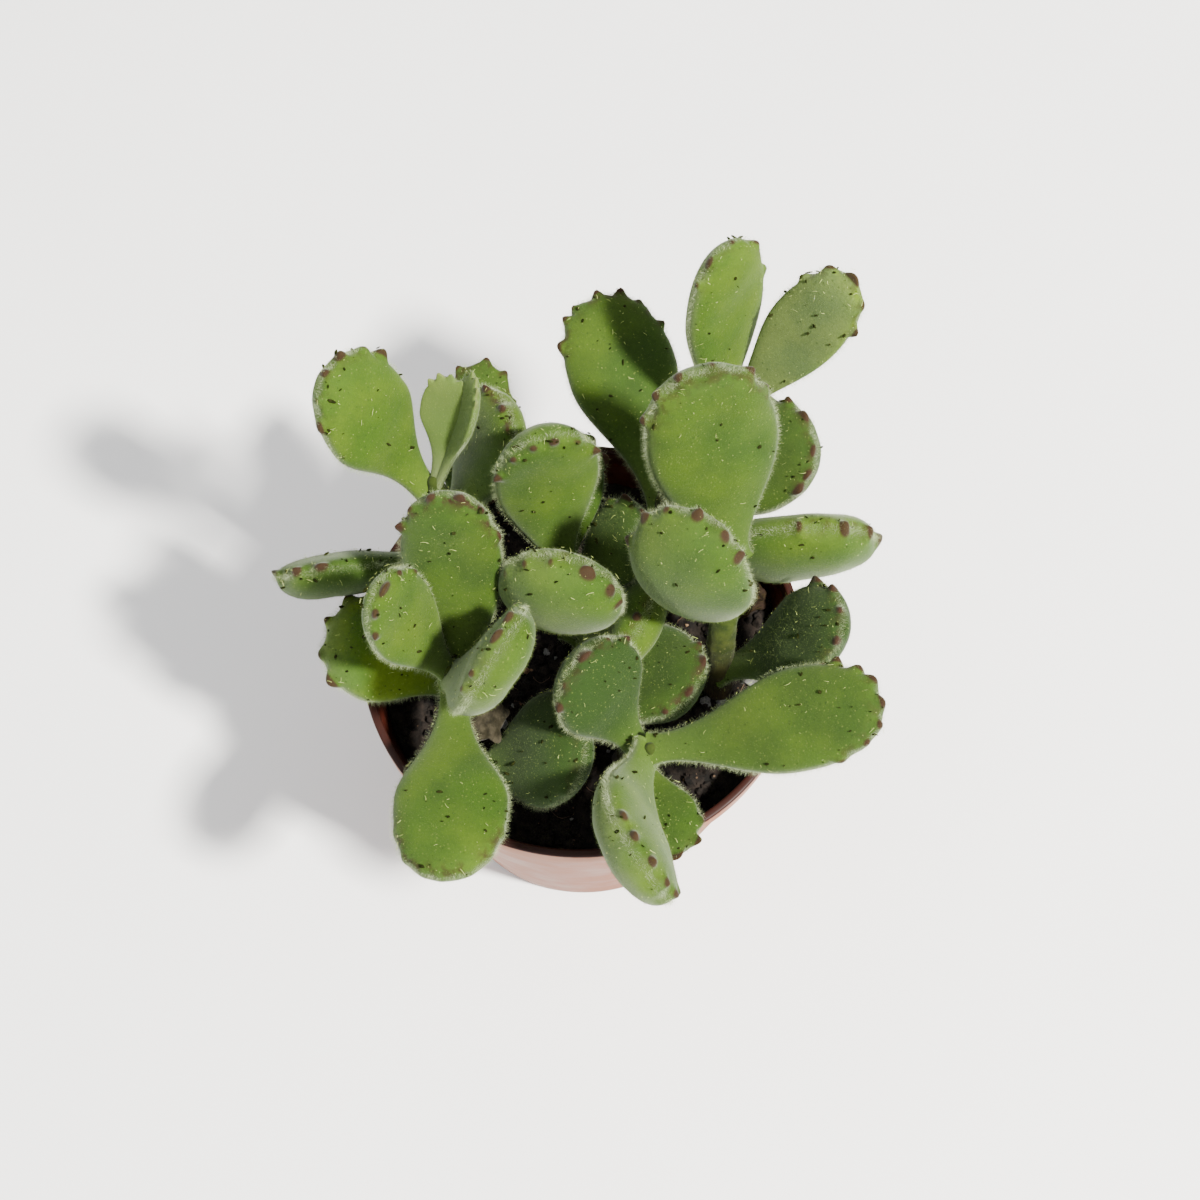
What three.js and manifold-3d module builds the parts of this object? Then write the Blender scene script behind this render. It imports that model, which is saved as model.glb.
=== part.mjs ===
// A bear's paw (Cotyledon tomentosa) in a small tapered nursery pot, in millimetres.
// +Z is up, +X is to the right and +Y is away from the viewer.
// The origin is the centre of the pot's flat base.
import * as THREE from "three";
import { mergeVertices } from "three/addons/utils/BufferGeometryUtils.js";
import Module from "manifold-3d";

// Pot
const potHeight = 62;
const potTopRadius = 35;
const potBaseRadius = 25;
const potWall = 1.1;
const lipHeight = 4.5;
const lipStep = 0.7;
const lipFlare = 0.3;
const rimRound = 0.5;
const drainRadius = 2.4;
const drainCircle = 14;
const drainCount = 5;
const roundSides = 48;

// Potting mix
const soilTop = 54;
const soilRings = 6;
const soilSides = 24;
const clodHeight = 0.8;
const perliteCount = 12;
const perliteRadius = 1.2;
const soilSeed = 3;
const barkSize = [9, 7, 5];
const barkPlace = [26, 11, 55];
const barkTurn = 20;

// Gap between neighbouring pieces
const fitGap = 0.3;

// Stems, each a run of points from 12 mm under the potting mix up to the growing tip
const stemRadius = 2.2;
const stemSides = 8;
const stemStep = 5;
const stemSink = 12;

// Leaves: round petiole, blade widest two thirds of the way out, red-brown teeth round the end
const petioleWidthShare = 0.25;
const petioleThicknessShare = 0.2;
const widestAt = 0.64;
const endSquareness = 2.3;
const thicknessShare = 0.6;
const thinWidth = 4.5;
const upperShare = 0.42;
const edgeFullness = 0.8;
const fanReach = 0.35;
const toothLength = 0.9;
const toothHalfAngle = 4.5;
const toothSpread = 64;
const sideSteps = 3;
const edgeLift = 0.6;
const ringAngles = [90, 60, 30];

const wasm = await Module();
wasm.setup();

const leafGreen = new THREE.MeshStandardMaterial({ color: 0x6f9a3c, roughness: 0.85, metalness: 0 });
const youngGreen = new THREE.MeshStandardMaterial({ color: 0x94b866, roughness: 0.85, metalness: 0 });
const stemGreen = new THREE.MeshStandardMaterial({ color: 0x7f9a5c, roughness: 0.9, metalness: 0 });
const soilBlack = new THREE.MeshStandardMaterial({ color: 0x1d1813, roughness: 1, metalness: 0 });
const potPink = new THREE.MeshStandardMaterial({ color: 0xd8b8aa, roughness: 0.45, metalness: 0 });
const barkTan = new THREE.MeshStandardMaterial({ color: 0x8a7048, roughness: 0.95, metalness: 0 });
const witheredGrey = new THREE.MeshStandardMaterial({ color: 0x7d7263, roughness: 0.95, metalness: 0 });

const plant = new THREE.Group();
const radians = THREE.MathUtils.degToRad;

// Solids and their names

function solidOf(geometry) {
  const bare = new THREE.BufferGeometry();
  bare.setAttribute("position", geometry.getAttribute("position"));
  bare.setIndex(geometry.getIndex());
  const merged = mergeVertices(bare, 1e-3);
  const vertProperties = new Float32Array(merged.getAttribute("position").array);
  const triVerts = new Uint32Array(merged.getIndex().array);
  return new wasm.Manifold(new wasm.Mesh({ numProp: 3, vertProperties, triVerts }));
}

function geometryOf(solid) {
  const mesh = solid.getMesh();
  const geometry = new THREE.BufferGeometry();
  geometry.setAttribute("position", new THREE.BufferAttribute(mesh.vertProperties, 3));
  geometry.setIndex(new THREE.BufferAttribute(mesh.triVerts, 1));
  return geometry;
}

function addPiece(name, solid, material) {
  const mesh = new THREE.Mesh(geometryOf(solid), material);
  mesh.name = name;
  plant.add(mesh);
}

// A number between 0 and 1 that depends only on its seed
function seeded(seed) {
  const x = Math.sin(seed * 127.1 + 311.7) * 43758.5453;
  return x - Math.floor(x);
}

// The pot: a thin tapered shell with a stepped lip and holes in its base

function wallRadius(z) {
  const lipFoot = potHeight - lipHeight;
  return potBaseRadius + ((potTopRadius - lipStep - potBaseRadius) * z) / lipFoot;
}

function potShell() {
  const lipFoot = potHeight - lipHeight;
  const rimInner = potTopRadius - potWall;
  const profile = [
    [0, 0],
    [potBaseRadius, 0],
    [wallRadius(lipFoot), lipFoot],
    [potTopRadius, lipFoot],
    [potTopRadius + lipFlare, potHeight - rimRound],
    [potTopRadius, potHeight],
    [rimInner + rimRound / 2, potHeight],
    [rimInner, lipFoot + rimRound],
    [wallRadius(lipFoot) - potWall, lipFoot - 1],
    [wallRadius(potWall) - potWall, potWall],
    [0, potWall],
  ];
  const points = profile.map(([r, z]) => new THREE.Vector2(r, z));
  const lathe = new THREE.LatheGeometry(points, roundSides).rotateX(Math.PI / 2);
  let shell = solidOf(lathe);
  for (let i = 0; i < drainCount; i++) {
    const angle = ((i + 0.5) / drainCount) * Math.PI * 2;
    const drill = new THREE.CylinderGeometry(drainRadius, drainRadius, potWall * 4, 12);
    drill.rotateX(Math.PI / 2);
    drill.translate(drainCircle * Math.cos(angle), drainCircle * Math.sin(angle), potWall / 2);
    shell = shell.subtract(solidOf(drill));
  }
  return shell;
}

// Stems

const stems = {
  right: [[22, -5, soilTop], [22, -1, 66], [23, 7, 80]],
  back: [[12, 13, soilTop], [13, 21, 64], [20, 31, 72], [28, 37, 80]],
  front: [[7, -17, soilTop], [9, -19, 64], [10.5, -21, 72]],
  middle: [[-2, 5, soilTop], [-3, 6, 66], [-3, 8.5, 76.5]],
  low: [[-15, -20, soilTop], [-16, -20, 58], [-16, -20, 61]],
  leftback: [[-17, 12, soilTop], [-20, 15, 66], [-23, 20, 80]],
  leftfront: [[-17, -7, soilTop], [-19, -8, 64], [-20, -10, 76]],
};

function stemCurve(points, sink = stemSink) {
  const [foot] = points;
  const root = [foot[0], foot[1], foot[2] - sink];
  return new THREE.CatmullRomCurve3([root, ...points].map((p) => new THREE.Vector3(...p)));
}

// A stem; grown makes the same stem a little fatter and deeper, for the hole that it stands in
function stemSolid(points, grown) {
  const curve = stemCurve(points, stemSink + grown);
  const radius = stemRadius + grown;
  const section = new THREE.Shape();
  section.absarc(0, 0, radius, 0, Math.PI * 2);
  const steps = Math.round(curve.getLength() / stemStep);
  const run = new THREE.ExtrudeGeometry(section, { steps, curveSegments: stemSides / 2, extrudePath: curve });
  const bud = new THREE.SphereGeometry(radius, stemSides, 6);
  bud.translate(...points[points.length - 1]);
  return solidOf(run).add(solidOf(bud));
}

// The middle of a stem at a height above the potting mix
function stemPoint(points, height) {
  const curve = stemCurve(points);
  let low = 0;
  let high = 1;
  for (let i = 0; i < 24; i++) {
    const middle = (low + high) / 2;
    if (curve.getPoint(middle).z < soilTop + height) {
      low = middle;
    } else {
      high = middle;
    }
  }
  return curve.getPoint(low);
}

// Leaves

// One line for each leaf: the stem it grows from, how high above the potting mix, the way it points round
// the compass and up from level, its length and width, how late along its length the blade fills out,
// its roll about its own middle line and how far its length bends inwards, all in millimetres and
// degrees, and the number of its teeth. Two lines with one name are a young pair joined at its base.
const leaves = [
  ["right_1", "right", 26, 109, 61, 35, 20, 0.85, 0, 20, 6],
  ["right_2", "right", 21, 189, 77, 36, 18, 1, 64, 80, 6],
  ["right_3", "back", 7, 348, 30, 38, 20.5, 1, -72, 15, 5],
  ["right_4", "back", 12, 12, 33, 27, 18, 1, 0, 20, 6],
  ["right_5", "right", 5, 0, 55, 30, 15, 1.2, 0, 20, 5],
  ["back_1", "back", 11, 108, 16, 37, 18, 1.35, 0, 15, 7],
  ["back_2", "back", 20, 86, 62, 34, 14, 1, 40, 15, 5],
  ["back_3", "back", 22, 25, 58, 34, 12, 1, 20, 10, 5],
  ["front_1", "front", 17, 2, 29, 38, 16, 1.1, 0, 15, 7],
  ["front_2", "front", 16, 270, 37, 32, 18, 1, -60, 45, 6],
  ["front_3", "front", 12, 138, 56, 23, 16, 1.3, 0, 30, 5],
  ["front_4", "front", 9, 287, 15, 19, 11, 1.2, 0, 15, 5],
  ["middle_1", "middle", 21, 106, 69, 28, 16, 0.85, 0, 50, 6],
  ["middle_2", "middle", 17, 86, 34, 24, 12, 1.2, 0, 15, 5],
  ["middle_3", "middle", 15, 285, 76, 30, 19, 1.2, -30, 70, 6],
  ["middle_4", "middle", 11, 31, 50, 23, 12, 1.2, 0, 20, 5],
  ["middle_5", "middle", 6, 333, 50, 22, 18, 1.2, 0, 40, 5],
  ["middle_6", "middle", 3, 322, 22, 27, 17, 1, 0, 30, 5],
  ["low_1", "low", 4, 5, 38, 21, 18, 0.9, 0, 20, 5],
  ["leftback_1", "leftback", 20, 146, 60, 35, 16, 1.8, 0, 15, 6],
  ["leftback_2", "leftback", 17, 57, 48, 24, 17, 1.2, -35, 20, 6],
  ["leftback_3", "leftback", 9, 84, 25, 32, 12, 1.2, 0, 15, 5],
  ["leftback_4", "leftback", 11, 197, 18, 30, 16, 1.4, 65, 10, 5],
  ["leftback_5", "leftback", 25, 72, 57, 20, 8, 1.8, 0, 10, 5],
  ["leftback_5", "leftback", 25, 53, 58, 22, 8, 1.8, -38, 10, 5],
  ["leftfront_1", "leftfront", 16, 87, 62, 36, 15, 0.8, 0, 16, 6],
  ["leftfront_2", "leftfront", 7, 160, 18, 24, 17, 1.2, 0, -10, 5],
  ["leftfront_3", "leftfront", 20, 152, 68, 27, 13, 1, 0, 20, 5],
  ["leftfront_4", "leftfront", 20, 330, 68, 28, 17, 0.7, 0, 30, 5],
  ["leftfront_5", "leftfront", 15, 270, 18, 36, 17, 1.6, 0, 5, 7],
  ["withered", "leftfront", 7, 300, 12, 10, 8, 1.2, 20, -50, 3],
];
const witheredName = "withered";
const youngWidth = 10;

// How far up the rise from petiole to full blade a point is, from 0 to 1
function swell(share, fill) {
  return Math.sin((Math.PI / 2) * Math.pow(share, fill)) ** 2;
}

// Edge of the blade as [share of the length, half width], from one side of the petiole round to the other
function bladeEdge(width, fill, teeth) {
  const half = [];
  for (let i = 0; i < sideSteps; i++) {
    const share = i / sideSteps;
    const full = petioleWidthShare + (1 - petioleWidthShare) * swell(share, fill);
    half.push({ along: share * widestAt, side: (width / 2) * full });
  }
  const spacing = (2 * toothSpread) / (teeth - 1);
  const stops = [90];
  for (let k = 0; k < teeth; k++) {
    const middle = toothSpread - k * spacing;
    stops.push(middle + toothHalfAngle, middle, middle - toothHalfAngle);
  }
  stops.push(-90);
  return { half, stops };
}

// A leaf as one closed skin: rings run from the edge of the blade to its middle line on both faces
function leafSolid(base, heading, rise, length, width, fill, roll, curl, teeth) {
  const { half, stops } = bladeEdge(width, fill, teeth);
  const edge = half.map(({ along, side }) => ({ along, side, spine: along, tooth: 0 }));
  stops.forEach((stop, i) => {
    const turn = radians(90 - Math.abs(stop));
    const sine = Math.pow(Math.sin(turn), 2 / endSquareness);
    const cosine = Math.pow(Math.max(Math.cos(turn), 0), 2 / endSquareness);
    edge.push({
      along: widestAt + (1 - widestAt) * sine,
      side: (Math.sign(stop) * width * cosine) / 2,
      spine: widestAt + (1 - widestAt) * fanReach * sine,
      tooth: i % 3 === 2 ? toothLength : 0,
    });
  });
  edge.push(...half.map(({ along, side }) => ({ along, side: -side, spine: along, tooth: 0 })).reverse());

  const h = radians(heading);
  const r = radians(rise);
  const ahead = new THREE.Vector3(Math.cos(h) * Math.cos(r), Math.sin(h) * Math.cos(r), Math.sin(r));
  const side = new THREE.Vector3(-Math.sin(h), Math.cos(h), 0).applyAxisAngle(ahead, radians(roll));
  const up = new THREE.Vector3().crossVectors(ahead, side);
  const bend = radians(curl);

  function place(along, across, out) {
    const turn = bend * (along - 0.5);
    const run = bend ? (length / bend) * (Math.sin(turn) + Math.sin(bend / 2)) : length * along;
    const dip = bend ? (length / bend) * (Math.cos(bend / 2) - Math.cos(turn)) : 0;
    return new THREE.Vector3()
      .addScaledVector(ahead, run - Math.sin(turn) * out)
      .addScaledVector(up, dip + Math.cos(turn) * out)
      .addScaledVector(side, across)
      .add(base);
  }

  const positions = [];
  const index = [];
  function add(point) {
    positions.push(point.x, point.y, point.z);
    return positions.length / 3 - 1;
  }

  function thickness(share) {
    const petiole = width * petioleThicknessShare;
    const blade = (width - thinWidth) * thicknessShare;
    return petiole + (blade - petiole) * swell(Math.min(share / widestAt, 1), fill);
  }

  const lastStep = edge.length - 1;
  function ring(angle, face) {
    const reach = Math.sin(radians(angle));
    const height = Math.pow(Math.cos(radians(angle)), edgeFullness);
    return edge.map(({ along, side: across, spine, tooth }) => {
      const outward = new THREE.Vector2((along - spine) * length, across);
      if (angle === 90 && tooth) {
        outward.setLength(outward.length() + tooth);
      }
      const t = spine + (outward.x * reach) / length;
      const y = outward.y * reach;
      const lift = edgeLift * (2 * y / width) ** 2;
      const depth = thickness(spine) * (face > 0 ? upperShare : 1 - upperShare);
      return add(place(t, y, lift + face * depth * (angle === 90 ? 0 : height)));
    });
  }

  function spineRow(face) {
    const row = [];
    for (let i = 0; i <= lastStep / 2; i++) {
      const depth = thickness(edge[i].spine) * (face > 0 ? upperShare : 1 - upperShare);
      row.push(add(place(edge[i].spine, 0, face * depth)));
    }
    return edge.map((_, i) => row[Math.min(i, lastStep - i)]);
  }

  const rim = ring(90, 1);
  const inner = ringAngles.slice(1);
  const rows = [1, -1].map((face) => [rim, ...inner.map((angle) => ring(angle, face)), spineRow(face)]);
  rows.forEach((face, k) => {
    for (let j = 0; j < face.length - 1; j++) {
      for (let i = 0; i < lastStep; i++) {
        const [a, b, c, d] = [face[j][i], face[j][i + 1], face[j + 1][i + 1], face[j + 1][i]];
        const halves = c === d ? [[a, b, c]] : [[a, b, c], [a, c, d]];
        halves.forEach(([p, q, s]) => index.push(...(k === 0 ? [p, s, q] : [p, q, s])));
      }
    }
  });

  const cap = [
    ...rows[0].map((row) => row[0]),
    ...rows[0].map((row) => row[lastStep]).reverse().slice(1),
    ...rows[1].map((row) => row[lastStep]).slice(1),
    ...rows[1].map((row) => row[0]).reverse().slice(1, -1),
  ];
  for (let i = 1; i < cap.length - 1; i++) {
    index.push(cap[0], cap[i + 1], cap[i]);
  }

  const geometry = new THREE.BufferGeometry();
  geometry.setAttribute("position", new THREE.Float32BufferAttribute(positions, 3));
  geometry.setIndex(index);
  return solidOf(geometry);
}

// Potting mix: a plug of peat that fills the pot up to a crumbly top, with plain holes for the stems

function soilRadius(z) {
  return wallRadius(z) - potWall - fitGap;
}

function soilPlug() {
  const bottom = potWall + fitGap;
  const positions = [0, 0, soilTop, 0, 0, bottom];
  const index = [];
  for (let j = 1; j <= soilRings; j++) {
    for (let i = 0; i < soilSides; i++) {
      const angle = ((i + (j % 2) / 2) / soilSides) * Math.PI * 2;
      const inside = j < soilRings;
      const clod = inside ? clodHeight * (2 * seeded(soilSeed + j * soilSides + i) - 1) : -clodHeight;
      const z = soilTop + clod;
      const radius = (soilRadius(z) * j) / soilRings;
      positions.push(radius * Math.cos(angle), radius * Math.sin(angle), z);
    }
  }
  for (let i = 0; i < soilSides; i++) {
    const angle = ((i + (soilRings % 2) / 2) / soilSides) * Math.PI * 2;
    positions.push(soilRadius(bottom) * Math.cos(angle), soilRadius(bottom) * Math.sin(angle), bottom);
  }
  const vertex = (j, i) => 2 + (j - 1) * soilSides + (i % soilSides);
  for (let i = 0; i < soilSides; i++) {
    index.push(0, vertex(1, i), vertex(1, i + 1));
    for (let j = 1; j <= soilRings; j++) {
      const shift = j % 2 && j < soilRings ? 1 : 0;
      const [a, b, c, d] = [vertex(j, i), vertex(j, i + 1), vertex(j + 1, i), vertex(j + 1, i + 1)];
      index.push(...(shift ? [a, d, b, a, c, d] : [a, c, b, b, c, d]));
    }
    index.push(1, vertex(soilRings + 1, i + 1), vertex(soilRings + 1, i));
  }
  const geometry = new THREE.BufferGeometry();
  geometry.setAttribute("position", new THREE.Float32BufferAttribute(positions, 3));
  geometry.setIndex(index);
  return solidOf(geometry);
}

function perliteGrain(i) {
  const angle = seeded(soilSeed + 3 * i) * Math.PI * 2;
  const radius = (0.25 + 0.65 * seeded(soilSeed + 3 * i + 1)) * soilRadius(soilTop);
  const size = perliteRadius * (0.7 + 0.6 * seeded(soilSeed + 3 * i + 2));
  const grain = new THREE.IcosahedronGeometry(size, 0);
  grain.translate(radius * Math.cos(angle), radius * Math.sin(angle), soilTop);
  return solidOf(grain);
}

// A flake of bark lying half sunk in the mix; grown makes the same flake a little larger, for its dent
function barkFlake(grown) {
  const flake = new THREE.IcosahedronGeometry(1, 1);
  const position = flake.getAttribute("position");
  for (let i = 0; i < position.count; i++) {
    const [x, y, z] = [position.getX(i), position.getY(i), position.getZ(i)];
    const rough = 1 + 0.16 * Math.sin(5 * x + 3 * y) + 0.12 * Math.sin(6 * z + 4 * x);
    const [a, b, c] = barkSize.map((side) => side / 2 + grown);
    position.setXYZ(i, x * a * rough, y * b * rough, z * c);
  }
  flake.rotateZ(radians(barkTurn)).translate(...barkPlace);
  return solidOf(flake);
}

// A leaf cut off square against the stem that it grows from, without the loose scraps of the cut
function trimmed(leaf, seat) {
  const pieces = leaf.subtract(seat).decompose();
  return pieces.sort((a, b) => b.volume() - a.volume())[0];
}

const stemSeats = {};
for (const [name, points] of Object.entries(stems)) {
  addPiece(`stem_${name}`, stemSolid(points, 0), stemGreen);
  stemSeats[name] = stemSolid(points, fitGap);
}

const grownLeaves = {};
for (const [name, stem, height, ...shape] of leaves) {
  const leaf = leafSolid(stemPoint(stems[stem], height), ...shape);
  const joined = name in grownLeaves ? grownLeaves[name].solid.add(leaf) : leaf;
  const material = name === witheredName ? witheredGrey : shape[3] < youngWidth ? youngGreen : leafGreen;
  grownLeaves[name] = { solid: joined, stem, material };
}
for (const [name, { solid, stem, material }] of Object.entries(grownLeaves)) {
  addPiece(`leaf_${name}`, trimmed(solid, stemSeats[stem]), material);
}

let soil = soilPlug();
for (let i = 0; i < perliteCount; i++) {
  soil = soil.add(perliteGrain(i));
}
for (const seat of Object.values(stemSeats)) {
  soil = soil.subtract(seat);
}
addPiece("soil", soil.subtract(barkFlake(fitGap)), soilBlack);
addPiece("bark_flake", barkFlake(0), barkTan);
addPiece("pot", potShell(), potPink);

export default plant;
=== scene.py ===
# A bear's paw (Cotyledon tomentosa) in its nursery pot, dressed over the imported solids.
import math

import bmesh
import bpy
import numpy as np
from mathutils import Matrix, Vector, noise


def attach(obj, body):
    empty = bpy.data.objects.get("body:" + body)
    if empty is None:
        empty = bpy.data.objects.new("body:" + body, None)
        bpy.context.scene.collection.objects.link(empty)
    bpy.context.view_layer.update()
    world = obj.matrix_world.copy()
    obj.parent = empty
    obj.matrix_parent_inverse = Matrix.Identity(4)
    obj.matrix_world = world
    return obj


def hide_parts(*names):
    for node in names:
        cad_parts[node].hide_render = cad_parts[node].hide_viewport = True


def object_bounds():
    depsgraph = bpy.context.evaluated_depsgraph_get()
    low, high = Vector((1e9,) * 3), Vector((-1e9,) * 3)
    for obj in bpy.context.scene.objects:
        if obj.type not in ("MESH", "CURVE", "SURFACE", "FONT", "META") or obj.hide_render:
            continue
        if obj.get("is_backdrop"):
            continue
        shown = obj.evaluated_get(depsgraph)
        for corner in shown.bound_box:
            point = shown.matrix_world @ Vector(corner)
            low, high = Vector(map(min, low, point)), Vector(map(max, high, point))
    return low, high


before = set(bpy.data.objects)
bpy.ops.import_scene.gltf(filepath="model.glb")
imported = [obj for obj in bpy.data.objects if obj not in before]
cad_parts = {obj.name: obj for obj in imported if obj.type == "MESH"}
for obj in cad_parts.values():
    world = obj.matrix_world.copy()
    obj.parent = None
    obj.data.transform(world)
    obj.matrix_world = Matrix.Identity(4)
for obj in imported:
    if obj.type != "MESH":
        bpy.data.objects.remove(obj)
solid_low, solid_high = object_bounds()


# The pot is one thin moulding of tapered plastic, with a stepped lip to lift it by and five drainage
# holes. Outside it is a dusty pink terracotta, pale in the sun and marked by water. Its inside is painted
# a deep brown red and its rim darker still, as painted shade on the one plastic. It stands on its flat
# base.
MM = 0.001
POT_HEIGHT = 62
POT_TOP_RADIUS = 35
POT_BASE_RADIUS = 25
POT_WALL = 1.1
POT_SIDES = 180
POT_RING_STEP = 3
LIP_HEIGHT = 4.5
LIP_FOOT = POT_HEIGHT - LIP_HEIGHT
LIP_STEP = 0.7
LIP_FLARE = 0.3
RIM_DEPTH = 0.42
OVAL = 0.004
WAVE = 0.0015
DRAIN_RADIUS = 2.4
DRAIN_CIRCLE = 14
DRAIN_COUNT = 5
DRAIN_SIDES = 40


def shape_piece(name, points, triangles, smooth=True):
    """A new mesh object from points in millimetres and corners by number."""
    points = np.asarray(points, float) * MM
    triangles = np.asarray(triangles, np.int32)
    mesh = bpy.data.meshes.new(name)
    mesh.vertices.add(len(points))
    mesh.vertices.foreach_set("co", points.ravel())
    mesh.loops.add(triangles.size)
    mesh.loops.foreach_set("vertex_index", triangles.ravel())
    mesh.polygons.add(len(triangles))
    mesh.polygons.foreach_set("loop_start", np.arange(0, triangles.size, 3, dtype=np.int32))
    mesh.polygons.foreach_set("use_smooth", np.full(len(triangles), smooth))
    mesh.update(calc_edges=True)
    piece = bpy.data.objects.new(name, mesh)
    bpy.context.scene.collection.objects.link(piece)
    return piece


def paint_points(piece, name, values):
    """One number for each point of the mesh, which materials read as a mask."""
    layer = piece.data.attributes.new(name, "FLOAT", "POINT")
    layer.data.foreach_set("value", np.asarray(values, np.float32))


def settle(piece, finish, slot, *nodes):
    """Gives the piece its finish, and puts it in place of the solids that it stands for."""
    piece.data.materials.clear()
    piece.data.materials.append(finish)
    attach(piece, "root")
    if nodes:
        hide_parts(*nodes)


def wall_radius(z):
    return POT_BASE_RADIUS + (POT_TOP_RADIUS - LIP_STEP - POT_BASE_RADIUS) * z / LIP_FOOT


def around(radius, turn):
    return radius * math.cos(turn), radius * math.sin(turn)


def soften(corners):
    """A profile of (radius, height, rounding) corners with each corner rounded off."""
    rounded = []
    for k, (r, z, reach) in enumerate(corners):
        here = np.array([r, z], float)
        if not reach:
            rounded.append(here)
            continue
        before, after = (np.array(corners[k + d][:2], float) - here for d in (-1, 1))
        first = here + before / np.linalg.norm(before) * reach
        last = here + after / np.linalg.norm(after) * reach
        for t in np.linspace(0, 1, 5):
            rounded.append((1 - t) ** 2 * first + 2 * t * (1 - t) * here + t ** 2 * last)
    return rounded


def turned(profile, sides):
    """Points and triangles of a profile turned round the upright axis, from axis back to axis."""
    points, rings, triangles = [], [], []
    for r, z in profile:
        if r < 1e-6:
            rings.append([len(points)] * sides)
            points.append((0, 0, z))
        else:
            rings.append([len(points) + i for i in range(sides)])
            points += [(*around(r, 2 * math.pi * i / sides), z) for i in range(sides)]
    for low, high in zip(rings, rings[1:]):
        for i in range(sides):
            a, b, c, d = low[i], low[(i + 1) % sides], high[(i + 1) % sides], high[i]
            triangles += [t for t in ((a, b, c), (a, c, d)) if len(set(t)) == 3]
    return points, triangles


def new_finish(name):
    """A plain material, with its node tree and its Principled shader."""
    finish = bpy.data.materials.new(name)
    finish.use_nodes = True
    tree = finish.node_tree
    return finish, tree, tree.nodes["Principled BSDF"]


def set_inputs(node, **values):
    """Sets a node's inputs by name, with underscores for the spaces."""
    for key, value in values.items():
        node.inputs[key.replace("_", " ")].default_value = value
    return node


def put(tree, kind, settings=None, **values):
    """Adds a shader node, sets its inputs by name and its settings by attribute."""
    node = tree.nodes.new("ShaderNode" + kind)
    for key, value in (settings or {}).items():
        setattr(node, key, value)
    return set_inputs(node, **values)


def feed(tree, socket, value):
    """Links a socket to a node's output, or sets it to a number or to red, green and blue."""
    if isinstance(value, bpy.types.NodeSocket):
        tree.links.new(value, socket)
    else:
        socket.default_value = (*value, 1) if isinstance(value, tuple) else value


def new_effect(name, result, **inputs):
    """A node group that works out one number from others, for an effect that finishes share. Comes with
    the sockets that hold its inputs and the one that takes its result."""
    group = bpy.data.node_groups.new(name, "ShaderNodeTree")
    number = {"socket_type": "NodeSocketFloat"}
    for key, value in inputs.items():
        socket = group.interface.new_socket(key.replace("_", " "), in_out="INPUT", **number)
        socket.default_value = value
    group.interface.new_socket(result, in_out="OUTPUT", **number)
    given = group.nodes.new("NodeGroupInput").outputs
    return group, given, group.nodes.new("NodeGroupOutput").inputs[0]


def use_effect(tree, group, **values):
    """The one output of an effect."""
    node = tree.nodes.new("ShaderNodeGroup")
    node.node_tree = group
    return set_inputs(node, **values).outputs[0]


def place_in_mm(tree):
    """The place on the piece, in millimetres."""
    coordinates = put(tree, "TexCoord")
    scaled = put(tree, "VectorMath", {"operation": "SCALE"}, Scale=1 / MM)
    feed(tree, scaled.inputs[0], coordinates.outputs["Object"])
    return scaled.outputs[0]


def mix_colours(tree, share, first, second):
    """A colour between first and second."""
    node = put(tree, "Mix", {"data_type": "RGBA"})
    for number, value in ((0, share), (6, first), (7, second)):
        feed(tree, node.inputs[number], value)
    return node.outputs[2]


def calculate(tree, operation, *values, clamp=False):
    node = put(tree, "Math", {"operation": operation, "use_clamp": clamp})
    for socket, value in zip(node.inputs, values):
        feed(tree, socket, value)
    return node.outputs[0]


def ease(tree, value, low, high, top=1.0):
    """Rises smoothly from 0 to top while the value goes from low to high."""
    ramp = put(tree, "MapRange", {"interpolation_type": "SMOOTHSTEP"}, To_Max=top)
    for key, end in (("Value", value), ("From Min", low), ("From Max", high)):
        feed(tree, ramp.inputs[key], end)
    return ramp.outputs["Result"]


def read_mask(tree, name):
    return put(tree, "Attribute", {"attribute_name": name}).outputs["Fac"]


# Soft blotches, for stains and for uneven colour
blotches, given, mask = new_effect("Soft blotches", "Mask", Size=6.0, Edge=0.12, Level=0.5)
cloud = put(blotches, "TexNoise", Detail=4, Roughness=0.55)
feed(blotches, cloud.inputs["Vector"], place_in_mm(blotches))
feed(blotches, cloud.inputs["Scale"], calculate(blotches, "DIVIDE", 1.0, given["Size"]))
low, high = (calculate(blotches, way, given["Level"], given["Edge"]) for way in ("SUBTRACT", "ADD"))
feed(blotches, mask, ease(blotches, cloud.outputs["Fac"], low, high))

# Scattered specks, for dust, grit and crumbs
specks, given, mask = new_effect(
    "Scattered specks", "Mask", Spacing=2.0, Speck_radius=0.2, Share=0.5)
cells = put(specks, "TexVoronoi")
feed(specks, cells.inputs["Vector"], place_in_mm(specks))
feed(specks, cells.inputs["Scale"], calculate(specks, "DIVIDE", 1.0, given["Spacing"]))
reach = calculate(specks, "DIVIDE", given["Speck radius"], given["Spacing"])
near = calculate(specks, "LESS_THAN", cells.outputs["Distance"], reach)
tint = put(specks, "SeparateColor")
feed(specks, tint.inputs["Color"], cells.outputs["Color"])
chosen = calculate(specks, "LESS_THAN", tint.outputs["Red"], given["Share"])
feed(specks, mask, calculate(specks, "MULTIPLY", near, chosen))

# Fine grain, for the height of a bump
grain, given, relief = new_effect("Fine grain", "Height", Size=0.4)
fine = put(grain, "TexNoise", Detail=3, Roughness=0.6)
feed(grain, fine.inputs["Vector"], place_in_mm(grain))
feed(grain, fine.inputs["Scale"], calculate(grain, "DIVIDE", 1.0, given["Size"]))
feed(grain, relief, fine.outputs["Fac"])


def blotched(tree, size, edge=0.2, level=0.5):
    return use_effect(tree, blotches, Size=size, Edge=edge, Level=level)


def specked(tree, spacing, radius, share):
    return use_effect(tree, specks, Spacing=spacing, Speck_radius=radius, Share=share)


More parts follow.
